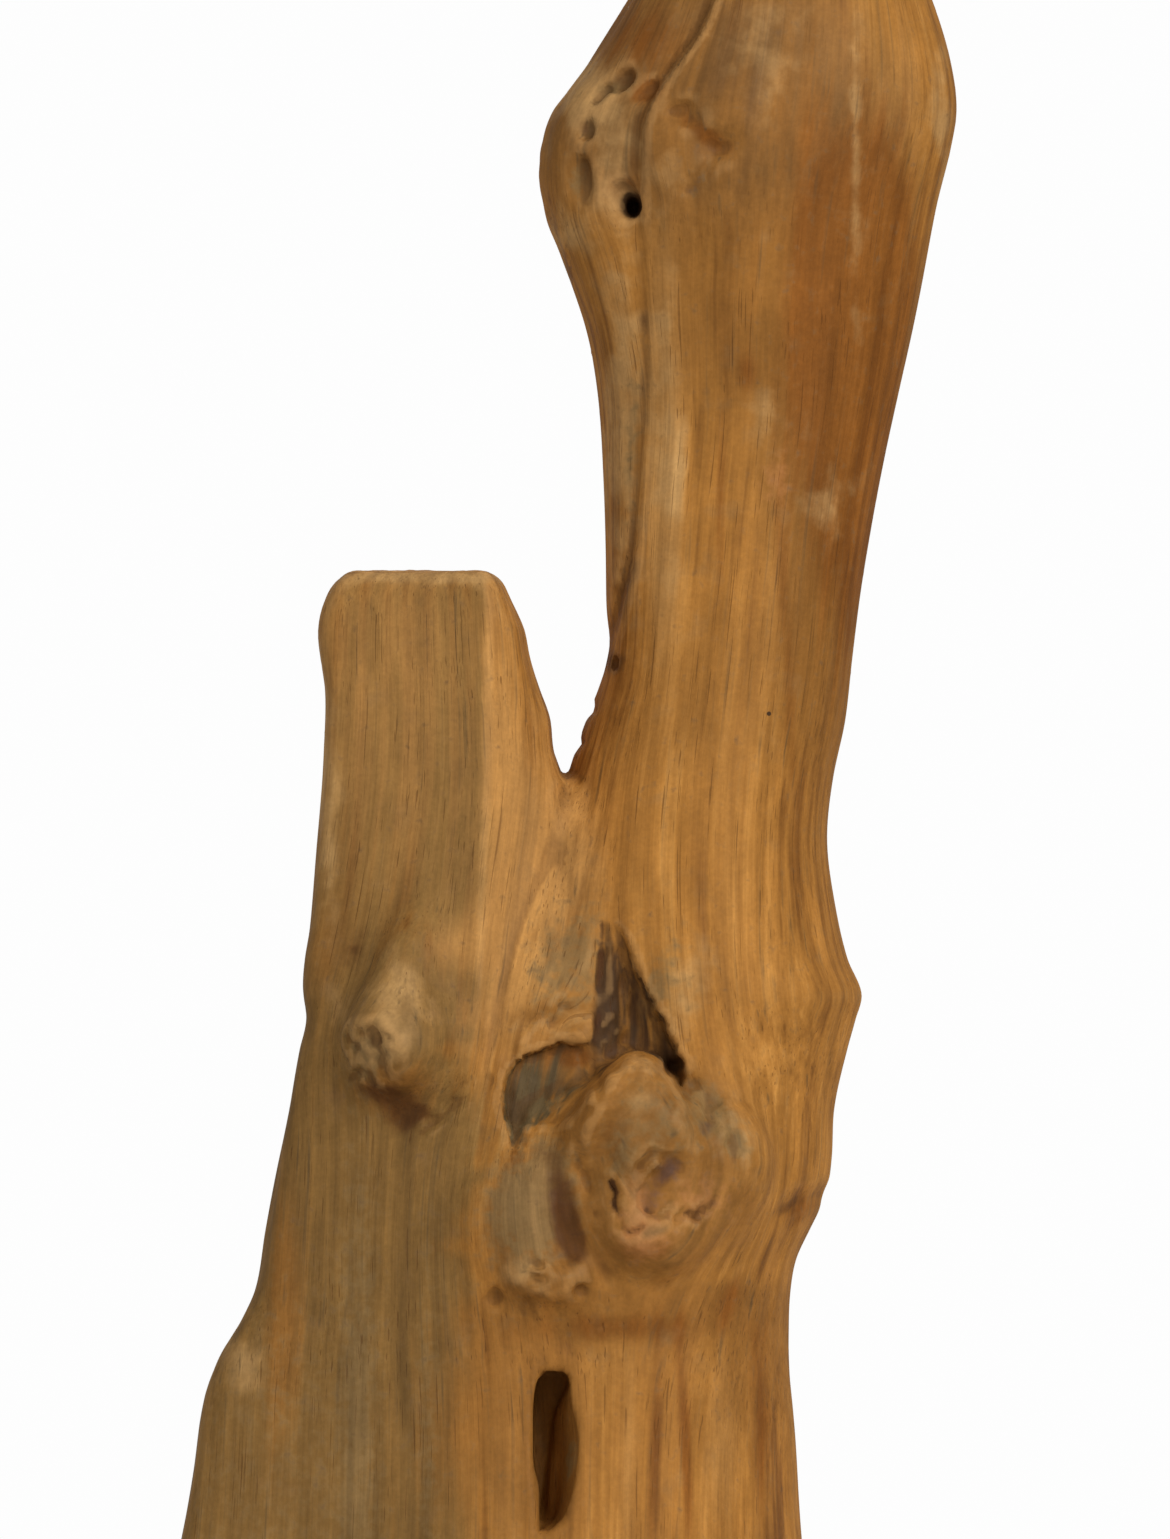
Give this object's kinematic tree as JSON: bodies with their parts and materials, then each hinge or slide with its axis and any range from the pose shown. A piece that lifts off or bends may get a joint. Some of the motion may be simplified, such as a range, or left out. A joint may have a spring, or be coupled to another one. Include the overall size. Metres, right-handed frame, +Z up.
{
  "type": "piece of driftwood",
  "caption": "Free-standing piece of weathered driftwood: a sanded trunk that forks into a tall swollen stem and a short limb sawn off square, with knots, hollows and a slit.",
  "frame": {"origin": "on the floor under the middle of the part's box, in the sawn foot's plane", "axes": "+Z up along the trunk, +X towards the tall stem's side, -Y towards the front with the big knot"},
  "size_m": [0.4064, 0.252, 0.96],
  "materials": {
    "weathered_wood": "sanded, dry and open-grained, warm brown with grey and charred hollows"
  },
  "bodies": {
    "root": {"driftwood": "weathered_wood"}
  },
  "joints": []
}
